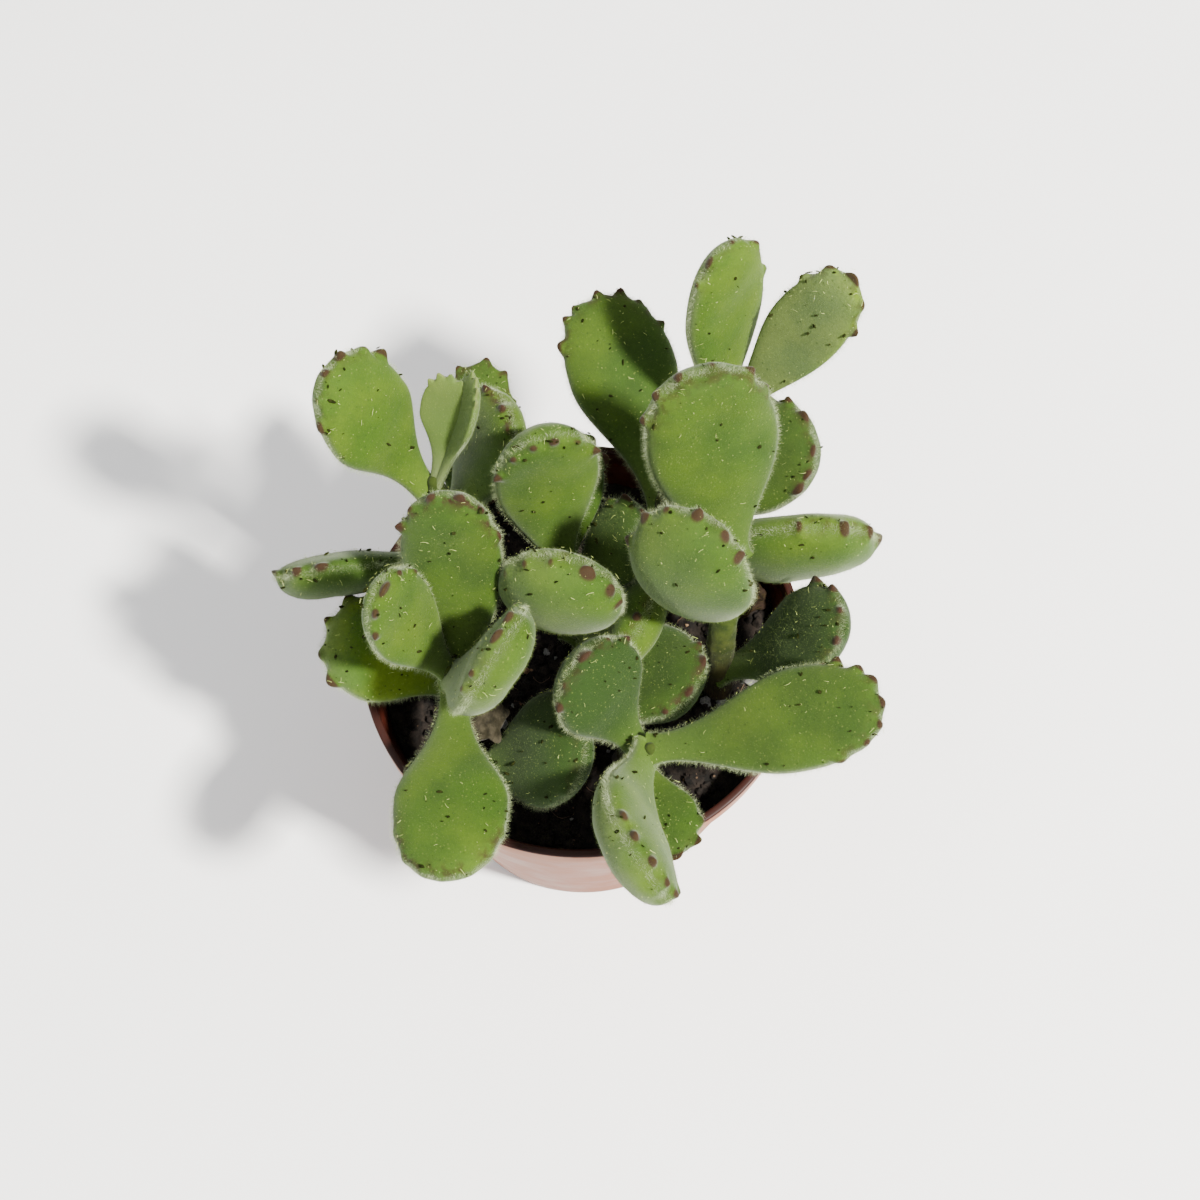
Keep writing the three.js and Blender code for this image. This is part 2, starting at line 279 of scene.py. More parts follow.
def coat(tree, shader, colour, bumps=None, **values):
    """Gives a shader its colour, its other values and, with a size, strength and depth, a fine grain."""
    feed(tree, shader.inputs["Base Color"], colour)
    set_inputs(shader, **values)
    if bumps:
        size, strength, depth = bumps
        bump = put(tree, "Bump", Strength=strength, Distance=depth * MM)
        feed(tree, bump.inputs["Height"], use_effect(tree, grain, Size=size))
        feed(tree, shader.inputs["Normal"], bump.outputs["Normal"])


pot_finish, tree, shader = new_finish("Dusty pink plastic")
stain = blotched(tree, 9.0)
outer = mix_colours(tree, stain, (0.165, 0.046, 0.014), (0.210, 0.062, 0.020))
dust = specked(tree, 2.6, 0.28, 0.3)
outer = mix_colours(tree, calculate(tree, "MULTIPLY", dust, 0.5), outer, (0.10, 0.050, 0.030))
lip = mix_colours(tree, read_mask(tree, "lip"), outer, (0.23, 0.078, 0.029))
# The inside walls and the top of the rim are painted far darker than the outside, as painted shade
damp = blotched(tree, 7.0, 0.15, 0.55)
inner = mix_colours(tree, damp, (0.045, 0.009, 0.005), (0.075, 0.020, 0.012))
walls_shaded_inside = mix_colours(tree, read_mask(tree, "inside"), lip, inner)
walls_and_shaded_rim = mix_colours(tree, read_mask(tree, "rim"), walls_shaded_inside, (0.022, 0.006, 0.004))
coat(
    tree, shader, walls_and_shaded_rim, (1.2, 0.12, 0.05),
    Specular_IOR_Level=0.15, Subsurface_Weight=0.08, Subsurface_Scale=2 * MM,
)
feed(tree, shader.inputs["Roughness"], calculate(tree, "MULTIPLY_ADD", stain, 0.15, 0.42))

pot_profile = soften([
    (0, 0, 0),
    (POT_BASE_RADIUS, 0, 1.2),
    (wall_radius(LIP_FOOT), LIP_FOOT, 0.25),
    (POT_TOP_RADIUS, LIP_FOOT, 0.3),
    (POT_TOP_RADIUS + LIP_FLARE, POT_HEIGHT, 0.5),
    (POT_TOP_RADIUS - POT_WALL, POT_HEIGHT, 0.45),
    (POT_TOP_RADIUS - POT_WALL, LIP_FOOT + 0.5, 0.4),
    (wall_radius(LIP_FOOT) - POT_WALL, LIP_FOOT - 1, 0.4),
    (wall_radius(POT_WALL) - POT_WALL, POT_WALL, 1.0),
    (0, POT_WALL, 0),
])
tall_profile = []
for (r0, z0), (r1, z1) in zip(pot_profile, pot_profile[1:]):
    cuts = max(1, int(abs(z1 - z0) / POT_RING_STEP))
    tall_profile += [(r0 + (r1 - r0) * k / cuts, z0 + (z1 - z0) * k / cuts) for k in range(cuts)]
tall_profile.append(pot_profile[-1])
pot = shape_piece("pot_shell", *turned(tall_profile, POT_SIDES))
drills = bmesh.new()
for i in range(DRAIN_COUNT):
    turn = 2 * math.pi * (i + 0.5) / DRAIN_COUNT
    spot = Vector((*around(DRAIN_CIRCLE, turn), POT_WALL / 2)) * MM
    bmesh.ops.create_cone(
        drills, cap_ends=True, segments=DRAIN_SIDES, radius1=DRAIN_RADIUS * MM,
        radius2=DRAIN_RADIUS * MM, depth=4 * POT_WALL * MM, matrix=Matrix.Translation(spot),
    )
drill_mesh = bpy.data.meshes.new("drills")
drills.to_mesh(drill_mesh)
drills.free()
drill_set = bpy.data.objects.new("drills", drill_mesh)
bpy.context.scene.collection.objects.link(drill_set)
cut = pot.modifiers.new("Drainage", "BOOLEAN")
cut.operation = "DIFFERENCE"
cut.object = drill_set
bpy.context.view_layer.objects.active = pot
bpy.ops.object.modifier_apply(modifier=cut.name)
bpy.data.objects.remove(drill_set)

# The thin wall isn't quite round any more
pot_points = np.array([v.co for v in pot.data.vertices]) / MM
height = pot_points[:, 2]
bearing = np.arctan2(pot_points[:, 1], pot_points[:, 0])
sway = 1 + OVAL * np.sin(2 * bearing + 0.6) * (height / POT_HEIGHT) + WAVE * np.sin(5 * bearing)
pot_points[:, :2] *= sway[:, None]
pot.data.vertices.foreach_set("co", (pot_points * MM).ravel())
from_axis = np.hypot(pot_points[:, 0], pot_points[:, 1]) / sway
outer_wall = np.where(height > LIP_FOOT - 0.05, POT_TOP_RADIUS, wall_radius(height))
# Masks for the painted shade inside and on the rim, and for the lip band
inside = (from_axis < outer_wall - POT_WALL * 0.6) & (height > POT_WALL * 0.6)
paint_points(pot, "inside", inside)
paint_points(pot, "rim", height > POT_HEIGHT - RIM_DEPTH)
paint_points(pot, "lip", (height > LIP_FOOT) & ~inside)
settle(pot, pot_finish, "pot_plastic", "pot")


# The potting mix fills the pot to about 8 mm below its rim. It is black peat, pressed into a plug by the
# roots, with a crumbly top of loose crumbs, brown fibres, tan grit and white grains of perlite.
SOIL_TOP = 54
SOIL_FOOT = POT_WALL + 0.3
SOIL_GAP = 0.1
SOIL_RINGS = 80
SOIL_SIDES = 260
SOIL_SEED = 3
CRUMB_COUNT = 1500
CRUMB_SIZES = (0.25, 1.3)
PERLITE_COUNT = 12
PERLITE_RADIUS = 1.2
CHIP_COUNT = 60
CHIP_SIZES = (0.3, 1.1)
GRIT_COUNT = 60
GRIT_SIZES = (0.25, 0.8)
FIBRE_COUNT = 70
FIBRE_LENGTHS = (2.0, 8.0)
FIBRE_RADII = (0.05, 0.11)
FIBRE_STEPS = 8


def soil_radius(z):
    return wall_radius(z) - POT_WALL - SOIL_GAP


def drawn(seed):
    """A number from 0 to 1 that depends only on its seed."""
    x = math.sin(seed * 127.1 + 311.7) * 43758.5453
    return x - math.floor(x)


def crumb_height(x, y):
    """Height of the loose top of the mix, in millimetres."""
    spot = Vector((x, y, 7.3))
    heap = 0.9 * noise.noise(spot / 7) + 0.75 * noise.noise(spot / 2.4) + 0.45 * noise.noise(spot / 0.9)
    return SOIL_TOP + heap


def ball(divisions):
    """Points and triangles of a ball with a radius of 1."""
    round_mesh = bmesh.new()
    bmesh.ops.create_icosphere(round_mesh, subdivisions=divisions, radius=1)
    points = [v.co.copy() for v in round_mesh.verts]
    triangles = [[v.index for v in face.verts] for face in round_mesh.faces]
    round_mesh.free()
    return points, triangles


def lump(seed, size, flat, divisions=1):
    """Points and triangles of one rough lump round the origin."""
    spots, triangles = ball(divisions)
    points = []
    for x, y, z in spots:
        wobble = 1 + 0.55 * noise.noise(Vector((x, y, z)) * 1.7 + Vector((seed * 3.1, 0, 0)))
        points.append((x * size * wobble, y * size * wobble * 0.85, z * size * wobble * flat))
    return np.array(points), np.array(triangles)


def turned_at_random(points, dice):
    turn = Matrix.Rotation(dice.uniform(0, 2 * math.pi), 3, Vector(dice.normal(size=3)).normalized())
    return points @ np.array(turn).T


def heap_up(name, shapes, smooth=True):
    """Joins many small shapes into one piece."""
    points, triangles, start = [], [], 0
    for some_points, some_triangles in shapes:
        points.append(some_points)
        triangles.append(np.asarray(some_triangles) + start)
        start += len(some_points)
    return shape_piece(name, np.vstack(points), np.vstack(triangles), smooth)


def unit(rows):
    return rows / np.linalg.norm(rows, axis=1)[:, None]


def tube(path, ahead, radius, sides, aside):
    """Points and triangles of a round tube along a path, closed at both ends. Each ring starts square to
    the direction aside. The radius may differ from point to point."""
    across = unit(np.cross(ahead, aside))
    upward = np.cross(ahead, across)
    turns = (2 * np.pi * np.arange(sides) / sides)[None, :, None]
    out = np.cos(turns) * across[:, None] + np.sin(turns) * upward[:, None]
    rings = path[:, None] + radius * out
    triangles = []
    for j in range(len(path) - 1):
        for i in range(sides):
            a, b = j * sides + i, j * sides + (i + 1) % sides
            triangles += [(a, b, b + sides), (a, b + sides, a + sides)]
    last = (len(path) - 1) * sides
    triangles += [(0, i + 1, i) for i in range(1, sides - 1)]
    triangles += [(last, last + i, last + i + 1) for i in range(1, sides - 1)]
    return rings.reshape(-1, 3), np.array(triangles)


def strand(path, radius):
    path = np.array(path)
    return tube(path, unit(np.gradient(path, axis=0)), radius, 3, (0.31, 0.17, 0.94))


def blotched_finish(name, size, dark, light, edge=0.2, bumps=None, **values):
    """A material that is dark in some blotches and light in others."""
    finish, tree, shader = new_finish(name)
    coat(tree, shader, mix_colours(tree, blotched(tree, size, edge), dark, light), bumps, **values)
    return finish


peat_finish, tree, shader = new_finish("Black peat")
patchy = blotched(tree, 1.6)
peat = mix_colours(tree, patchy, (0.004, 0.0035, 0.003), (0.018, 0.013, 0.010))
flecks = specked(tree, 1.4, 0.2, 0.16)
peat = mix_colours(tree, flecks, peat, (0.07, 0.045, 0.028))
coat(tree, shader, peat, (0.35, 0.9, 0.3), Roughness=0.95, Specular_IOR_Level=0.2)

# The top is rings of points round its middle, sunk a little along the wall of the pot
top_rings = np.linspace(0, 1, SOIL_RINGS)[1:]
turns = [2 * math.pi * i / SOIL_SIDES for i in range(SOIL_SIDES)]
points = [(0, 0, crumb_height(0, 0))]
for share in top_rings:
    r = share * soil_radius(SOIL_TOP)
    for turn in turns:
        x, y = around(r, turn)
        points.append((x, y, crumb_height(x, y) - 8 * max(0, share - 0.9)))
points += [(*around(soil_radius(SOIL_FOOT), turn), SOIL_FOOT) for turn in turns]
points.append((0, 0, SOIL_FOOT))
triangles = []
last = 1 + len(top_rings) * SOIL_SIDES
for i in range(SOIL_SIDES):
    n = (i + 1) % SOIL_SIDES
    triangles.append((0, 1 + i, 1 + n))
    for a, b in ((start + i, start + n) for start in range(1, last, SOIL_SIDES)):
        triangles += [(a, a + SOIL_SIDES, b + SOIL_SIDES), (a, b + SOIL_SIDES, b)]
    triangles.append((last + i, len(points) - 1, last + n))
settle(shape_piece("peat_plug", points, triangles), peat_finish, "potting_mix", "soil")

dice = np.random.default_rng(SOIL_SEED)


def strewn(count, sizes, outer=0.97):
    """Yields seeded places on the mix, with more small sizes than large ones."""
    low, high = sizes
    for _ in range(count):
        r = soil_radius(SOIL_TOP) * math.sqrt(dice.uniform(0, outer ** 2))
        turn = dice.uniform(0, 2 * math.pi)
        size = low + (high - low) * dice.uniform() ** 2.2
        yield *around(r, turn), size


def lumps_strewn(count, sizes, lift, flat, divisions=1):
    """Rough lumps strewn over the mix, each raised by a share of its size."""
    shapes = []
    for k, (x, y, size) in enumerate(strewn(count, sizes)):
        points, triangles = lump(k, size, flat, divisions)
        spot = np.array([x, y, crumb_height(x, y) + size * lift])
        shapes.append((turned_at_random(points, dice) + spot, triangles))
    return shapes


crumbs = heap_up("peat_crumbs", lumps_strewn(CRUMB_COUNT, CRUMB_SIZES, 0.15, 0.8), smooth=False)
settle(crumbs, peat_finish, "potting_mix")

perlite_finish, tree, shader = new_finish("Perlite")
chalky = blotched(tree, 0.7)
chalk = mix_colours(tree, chalky, (0.09, 0.09, 0.085), (0.20, 0.195, 0.185))
chalk = mix_colours(tree, specked(tree, 0.6, 0.12, 0.3), chalk, (0.05, 0.042, 0.034))
coat(tree, shader, chalk, (0.25, 0.8, 0.2), Roughness=0.9)

grains = []
for i in range(PERLITE_COUNT):
    turn = drawn(SOIL_SEED + 3 * i) * 2 * math.pi
    r = (0.25 + 0.65 * drawn(SOIL_SEED + 3 * i + 1)) * soil_radius(SOIL_TOP)
    size = PERLITE_RADIUS * (0.7 + 0.6 * drawn(SOIL_SEED + 3 * i + 2))
    points, some_triangles = lump(50 + i, size, 0.85, 2)
    spot = (*around(r, turn), SOIL_TOP + 0.2)
    grains.append((turned_at_random(points, dice) + spot, some_triangles))
grains += lumps_strewn(CHIP_COUNT, CHIP_SIZES, 0.5, 0.8, 2)
settle(heap_up("perlite", grains, smooth=False), perlite_finish, "potting_mix")

grit_finish = blotched_finish(
    "Tan grit", 1.0, (0.10, 0.05, 0.022), (0.19, 0.12, 0.062), bumps=(0.3, 0.7, 0.2), Roughness=0.85)
grit = heap_up("tan_grit", lumps_strewn(GRIT_COUNT, GRIT_SIZES, 0.4, 0.7), smooth=False)
settle(grit, grit_finish, "potting_mix")

fibre_finish = blotched_finish(
    "Peat fibre", 3.0, (0.04, 0.022, 0.012), (0.13, 0.08, 0.045), Roughness=0.8)
fibres = []
for x, y, length in strewn(FIBRE_COUNT, FIBRE_LENGTHS, outer=0.9):
    heading, bend = dice.uniform(0, 2 * math.pi), dice.uniform(-0.35, 0.35)
    path = []
    for k in range(FIBRE_STEPS + 1):
        path.append((x, y, crumb_height(x, y) + 0.25 + 0.25 * math.sin(k * 1.3)))
        heading += bend
        x += length / FIBRE_STEPS * math.cos(heading)
        y += length / FIBRE_STEPS * math.sin(heading)
        over = math.hypot(x, y) / (soil_radius(SOIL_TOP) - 0.5)
        x, y = (x / over, y / over) if over > 1 else (x, y)
    fibres.append(strand(path, dice.uniform(*FIBRE_RADII)))
settle(heap_up("peat_fibres", fibres), fibre_finish, "potting_mix")


# The flake of bark is a chip of pine bark that came with the mix. It lies half sunk, with rough split
# layers painted in wavy bands from nearly black to dull brown: the near black is painted shade in the
# cracks, the dull brown is where the layers have flaked off. The whole chip is painted darker as painted
# shade.
BARK_SIZE = (9, 7, 5)
BARK_PLACE = (26, 11, 55)
BARK_TURN = 20

bark_finish, tree, shader = new_finish("Pine bark")
bands = {"wave_type": "BANDS", "bands_direction": "Z"}
layers = put(tree, "TexWave", bands, Scale=0.9, Distortion=6, Detail=3)
feed(tree, layers.inputs["Vector"], place_in_mm(tree))
# Near-black bands as painted shade in the cracks, and all the browns kept dark as painted shade
brown = mix_colours(tree, layers.outputs["Fac"], (0.003, 0.002, 0.0006), (0.024, 0.017, 0.005))
brown = mix_colours(tree, blotched(tree, 2.4, 0.12, 0.52), brown, (0.02, 0.012, 0.008))
coat(tree, shader, brown, (0.6, 0.9, 0.3), Roughness=0.9, Specular_IOR_Level=0.1)

points = []
turn = math.radians(BARK_TURN)
spots, triangles = ball(5)
for spot in spots:
    x, y, z = spot
    rough = 1 + 0.16 * math.sin(5 * x + 3 * y) + 0.12 * math.sin(6 * z + 4 * x)
    chip = 0.10 * noise.noise(spot * 5) + 0.05 * noise.noise(spot * 13)
    shelf = 0.12 * math.floor((z + 0.25 * noise.noise(spot * 2)) * 5) / 5
    x, y = (side * rough * (1 + chip + shelf) * size / 2 for side, size in zip((x, y), BARK_SIZE))
    z = z * (1 + chip) * BARK_SIZE[2] / 2
    points.append((
        BARK_PLACE[0] + x * math.cos(turn) - y * math.sin(turn),
        BARK_PLACE[1] + x * math.sin(turn) + y * math.cos(turn),
        BARK_PLACE[2] + z,
    ))
settle(shape_piece("pine_bark", points, triangles), bark_finish, "bark", "bark_flake")


# The stems are about 4 mm thick, soft and green at the tip and corky towards the foot, with a ridge where
# each pair of leaves grew. Each is rooted in the mix and ends in a small round bud.
STEM_RADIUS = 2.2
STEM_SINK = 12
STEM_RINGS = 90
STEM_SIDES = 28
BUD_RADIUS = 1.1
BUD_RINGS = 10
NECK_LENGTH = 5
RIDGE_SPACING = 5.5
RIDGE_HEIGHT = 0.07
CORK_HEIGHT = 14
# Each stem: the spots that it runs through, from the top of the mix up
STEMS = {
    "right": [(22, -5, 54), (22, -1, 66), (23, 7, 80)],
    "back": [(12, 13, 54), (13, 21, 64), (20, 31, 72), (28, 37, 80)],
    "front": [(7, -17, 54), (9, -19, 64), (10.5, -21, 72)],
    "middle": [(-2, 5, 54), (-3, 6, 66), (-3, 8.5, 76.5)],
    "low": [(-15, -20, 54), (-16, -20, 58), (-16, -20, 61)],
    "leftback": [(-17, 12, 54), (-20, 15, 66), (-23, 20, 80)],
    "leftfront": [(-17, -7, 54), (-19, -8, 64), (-20, -10, 76)],
}


def stem_line(spots, shares):
    """Points of the smooth line through a stem's spots, which starts under the mix."""
    x, y, z = spots[0]
    spots = np.array([(x, y, z - STEM_SINK), *spots], float)
    line = []
    for share in np.atleast_1d(shares):
        place = share * (len(spots) - 1)
        k = min(int(place), len(spots) - 2)
        t = place - k
        p1, p2 = spots[k], spots[k + 1]
        p0 = spots[k - 1] if k else 2 * p1 - p2
        p3 = spots[k + 2] if k + 2 < len(spots) else 2 * p2 - p1
        d0, d1, d2 = (np.linalg.norm(b - a) ** 0.5 for a, b in ((p0, p1), (p1, p2), (p2, p3)))
        m1 = d1 * ((p1 - p0) / d0 - (p2 - p0) / (d0 + d1) + (p2 - p1) / d1)
        m2 = d1 * ((p2 - p1) / d1 - (p3 - p1) / (d1 + d2) + (p3 - p2) / d2)
        square = -3 * p1 + 3 * p2 - 2 * m1 - m2
        cube = 2 * p1 - 2 * p2 + m1 + m2
        line.append(p1 + m1 * t + square * t ** 2 + cube * t ** 3)
    return np.array(line)


def stem_middle(spots, height):
    """The middle of a stem at a height above the mix."""
    low, high = 0.0, 1.0
    for _ in range(24):
        half = (low + high) / 2
        if stem_line(spots, half)[0][2] < SOIL_TOP + height:
            low = half
        else:
            high = half
    return stem_line(spots, low)[0]


stem_finish, tree, shader = new_finish("Downy stem")
streaks = blotched(tree, 2.2)
green = mix_colours(tree, streaks, (0.014, 0.026, 0.003), (0.034, 0.050, 0.007))
cork = mix_colours(tree, streaks, (0.014, 0.010, 0.004), (0.038, 0.026, 0.010))
skin = mix_colours(tree, read_mask(tree, "cork"), green, cork)
skin = mix_colours(tree, specked(tree, 0.9, 0.15, 0.4), skin, (0.055, 0.058, 0.018))
coat(
    tree, shader, skin, (0.6, 0.6, 0.2),
    Roughness=0.85, Specular_IOR_Level=0.1, Sheen_Weight=0.05, Sheen_Roughness=0.5,
)

stem_pieces = {}
for number, (name, spots) in enumerate(STEMS.items()):
    line = stem_line(spots, np.linspace(0.02, 1, STEM_RINGS))
    top = line[-1]
    ahead = unit(np.gradient(line, axis=0))
    # The stem narrows to its tip, and the last rings close over it as a small bud
    cap = np.radians(np.linspace(8, 84, BUD_RINGS))
    below_tip = np.linalg.norm(line - top, axis=1)
    line = np.vstack([line, top + ahead[-1] * BUD_RADIUS * np.sin(cap)[:, None]])
    ahead = np.vstack([ahead, np.repeat(ahead[-1:], BUD_RINGS, axis=0)])
    neck = BUD_RADIUS + (STEM_RADIUS - BUD_RADIUS) * np.clip(below_tip / NECK_LENGTH, 0, 1) ** 0.7
    radius = np.concatenate([neck, BUD_RADIUS * np.cos(cap)])
    climb = np.concatenate([[0], np.cumsum(np.linalg.norm(np.diff(line, axis=0), axis=1))])[:, None]
    ridges = np.maximum(0, np.sin(climb[:, 0] * 2 * np.pi / RIDGE_SPACING + number)) ** 6
    radius *= 1 + RIDGE_HEIGHT * ridges
    turns = 2 * np.pi * np.arange(STEM_SIDES) / STEM_SIDES
    flutes = 1 + 0.03 * np.sin(3 * turns + climb * 0.3) + 0.02 * np.sin(7 * turns - climb * 0.9)
    fluted = (radius[:, None] * flutes)[:, :, None]
    piece = shape_piece(f"{name}_stem", *tube(line, ahead, fluted, STEM_SIDES, (1, 0, 0)))
    corky = np.clip(1.15 - (line[:, 2] - SOIL_TOP) / CORK_HEIGHT, 0, 1)
    paint_points(piece, "cork", np.repeat(corky, STEM_SIDES))
    settle(piece, stem_finish, "stem", f"stem_{name}")
    stem_pieces[name] = piece


# The leaves are thick pads of water-filled flesh that broaden from a narrow petiole to a blunt, paw-like
# end with five to seven short dark brown claws. They grow straight from the stem. Each is one skin, drawn
# as rings from the edge to the middle line of both faces.
PETIOLE_WIDTH = 0.25
PETIOLE_THICKNESS = 0.2
WIDEST_AT = 0.64
END_SQUARENESS = 2.3
THICKNESS = 0.6
THIN_WIDTH = 4.5
UPPER_SHARE = 0.42
EDGE_FULLNESS = 0.8
FAN_REACH = 0.35
CLAW_LENGTH = 1.2
CLAW_HALF_WIDTH = 1.3
CLAW_SPREAD = 64
CLAW_JITTER = 0.8
CLAW_SIZES = (0.4, 1.1)
WIDE_CLAWS = 0.35
WIDE_CLAW = 1.6
SCALLOP_DEPTH = 0.22
LOBE_LENGTH = 0.3
LOBE_DEPTH = 0.5
LOBE_SPREAD = 45
CLAW_BAND = 0.18
SCALLOP_BAND = 0.30
BLUSH_BAND = 0.28
MARGIN_BAND = 0.12
EDGE_LIFT = 0.6
SIDE_POINTS = 200
END_POINTS = 801
EDGE_POINTS = 170
RING_TURNS = np.radians([90, 86.5, 83, 79.5, 76, 72.5, 69, 65, 59, 50, 38, 24, 10])

# Each leaf: its stem, how high above the mix it grows, its heading round the compass, its rise from level,
# its length and width, how late along its length the blade fills out, its roll about its own middle line,
# how far its length bends inwards, its claws, how far they stand up from the rim onto its upper face, its
# green tone, which also carries painted light and shade: below 0 a leaf is painted dark as painted shade,
# above 1 it is painted bright and yellow as painted sunlight; and how brown its clawed edge is.
LEAVES = {
    "right_1": ("right", 26, 109, 61, 35, 20, 0.85, 0, 20, 6, -0.15, 0.45, 0.6),
    "right_2": ("right", 21, 189, 77, 36, 18, 1, 64, 80, 6, -0.2, 0.5, 0.5),
    "right_3": ("back", 7, 348, 30, 38, 20.5, 1, -72, 15, 5, 0.0, 0.7, 0.6),
    "right_4": ("back", 12, 12, 33, 27, 18, 1, 0, 20, 6, 0.15, 0.2, 0.5),
    "right_5": ("right", 5, 0, 55, 30, 15, 1.2, 0, 20, 5, 0.1, -0.3, 0.4),
    "back_1": ("back", 11, 108, 16, 37, 18, 1.35, 0, 15, 7, 0.0, 0.35, 0.8),
    "back_2": ("back", 20, 86, 62, 34, 14, 1, 40, 15, 5, 0.0, 0.8, 0.3),
    "back_3": ("back", 22, 25, 58, 34, 12, 1, 20, 10, 5, 0.0, 2.2, 0.4),
    "front_1": ("front", 17, 2, 29, 38, 16, 1.1, 0, 15, 7, 0.0, 0.45, 0.4),
    "front_2": ("front", 16, 270, 37, 32, 18, 1, -60, 45, 6, 0.3, 0.55, 0.2),
    "front_3": ("front", 12, 138, 56, 23, 16, 1.3, 0, 30, 5, 0.1, -0.3, 0.5),
    "front_4": ("front", 9, 287, 15, 19, 11, 1.2, 0, 15, 5, 0.0, 0.4, 0.3),
    "middle_1": ("middle", 21, 106, 69, 28, 16, 0.85, 0, 50, 6, 0.26, 0.55, 0.15),
    "middle_2": ("middle", 17, 86, 34, 24, 12, 1.2, 0, 15, 5, 0.1, 0.2, 0.3),
    "middle_3": ("middle", 15, 285, 76, 30, 19, 1.2, -30, 70, 6, -0.3, 0.55, 0.5),
    "middle_4": ("middle", 11, 31, 50, 23, 12, 1.2, 0, 20, 5, 0.1, 0.35, 0.8),
    "middle_5": ("middle", 6, 333, 50, 22, 18, 1.2, 0, 40, 5, 0.2, 0.5, 0.5),
    "middle_6": ("middle", 3, 322, 22, 27, 17, 1, 0, 30, 5, 0.2, 0.1, 0.8),
    "low_1": ("low", 4, 5, 38, 21, 18, 0.9, 0, 20, 5, 0.1, -0.4, 0.3),
    "leftback_1": ("leftback", 20, 146, 60, 35, 16, 1.8, 0, 15, 6, 0.0, 0.9, 0.3),
    "leftback_2": ("leftback", 17, 57, 48, 24, 17, 1.2, -35, 20, 6, 0.2, 0.5, 0.9),
    "leftback_3": ("leftback", 9, 84, 25, 32, 12, 1.2, 0, 15, 5, 0.0, 0.3, 0.8),
    "leftback_4": ("leftback", 11, 197, 18, 30, 16, 1.4, 65, 10, 5, 0.1, 0.35, 0.4),
    "leftfront_1": ("leftfront", 16, 87, 62, 36, 15, 0.8, 0, 16, 6, 0.1, 0.35, 1.0),
    "leftfront_2": ("leftfront", 7, 160, 18, 24, 17, 1.2, 0, -10, 5, 0.0, 2.2, 0.2),
    "leftfront_3": ("leftfront", 20, 152, 68, 27, 13, 1, 0, 20, 5, 0.35, 0.65, 0.1),
    "leftfront_4": ("leftfront", 20, 330, 68, 28, 17, 0.7, 0, 30, 5, 0.35, 0.5, 0.2),
    "leftfront_5": ("leftfront", 15, 270, 18, 36, 17, 1.6, 0, 5, 7, -0.1, 0.5, 0.8),
}
# The share of a full claw on the leaves that have hardly any
SHORT_CLAWS = {"leftfront_5": 0.3, "low_1": 0.2}
# How far the down and a painted sheen of sky light grey a leaf where it faces left, away from the sun
THIN_DOWN_AND_SHEEN = 0.04
DENSE_DOWN_AND_SHEEN = {
    "back_2": 0.25, "back_3": 0.35, "right_2": 0.08, "middle_3": 0.12, "front_2": 0.2,
    "leftfront_2": 0.2, "leftfront_4": 0.15,
}


def swell(share, fill):
    """How far from petiole to full blade a point is, from 0 to 1."""
    return np.sin(np.pi / 2 * np.clip(share, 0, 1) ** fill) ** 2


def closeness(distance, reach):
    """Falls off smoothly from 1 where the distance is 0."""
    return math.exp(-(distance / reach) ** 2)


def blade_edge(length, width, fill, claws, spread, dice):
    """The edge from one side of the petiole round to the other. For each point: how far along the leaf it
    is, its offset to the side and the point of the middle line behind it; then how much of a claw it is,
    how far into the clawed end it is, and how far it bulges between two hollows."""
    share = np.linspace(0, 1, SIDE_POINTS, endpoint=False)
    half = width / 2 * (PETIOLE_WIDTH + (1 - PETIOLE_WIDTH) * swell(share, fill))
    half += width * 0.05 * np.exp(-share / 0.08)
    side = np.column_stack([share * WIDEST_AT, half, share * WIDEST_AT])
    stops = np.linspace(90, -90, END_POINTS)
    lean = np.radians(90 - np.abs(stops))
    sine = np.sin(lean) ** (2 / END_SQUARENESS)
    cosine = np.maximum(np.cos(lean), 0) ** (2 / END_SQUARENESS)
    end = np.column_stack([
        WIDEST_AT + (1 - WIDEST_AT) * sine,
        np.sign(stops) * width / 2 * cosine,
        WIDEST_AT + (1 - WIDEST_AT) * FAN_REACH * sine,
    ])
    line = np.vstack([side, end, (side * (1, -1, 1))[::-1]])
    steps = np.hypot(np.diff(line[:, 0]) * length, np.diff(line[:, 1]))
    walked = np.concatenate([[0], np.cumsum(steps)])
    first, last = SIDE_POINTS, SIDE_POINTS + END_POINTS - 1
    even = np.linspace(spread, -spread, claws)
    claw_places = np.interp(even, stops[::-1], walked[first:last + 1][::-1])
    claw_places = claw_places + dice.uniform(-CLAW_JITTER, CLAW_JITTER, claws)
    claw_sizes = dice.uniform(*CLAW_SIZES, claws)
    claw_widths = np.where(dice.uniform(size=claws) < WIDE_CLAWS, WIDE_CLAW, 1.0)
    # Points lie closer together round the clawed end than along the petiole
    density = np.interp(walked, [0, walked[first], walked[last], walked[-1]], [0.5, 1, 1, 0.5])
    paced = np.concatenate([[0], np.cumsum(steps * (density[1:] + density[:-1]) / 2)])
    places = np.interp(np.linspace(0, paced[-1], EDGE_POINTS), paced, walked)
    edge = np.column_stack([np.interp(places, walked, line[:, k]) for k in range(3)])
    claw_reach = CLAW_HALF_WIDTH * claw_widths * (0.6 + 0.4 * claw_sizes)
    away = np.abs(places[:, None] - claw_places[None, :]) / claw_reach
    claw = np.max(np.where(away < 1, (1 - away ** 2) ** 2, 0) * claw_sizes, axis=1)
    spacing = (claw_places[-1] - claw_places[0]) / (claws - 1)
    phase = (places - claw_places[0]) / spacing
    in_end = np.clip(np.minimum(phase + 0.8, claws - 0.2 - phase), 0, 1)
    scallop = in_end * np.cos(2 * np.pi * phase)
    return edge, claw, in_end, scallop


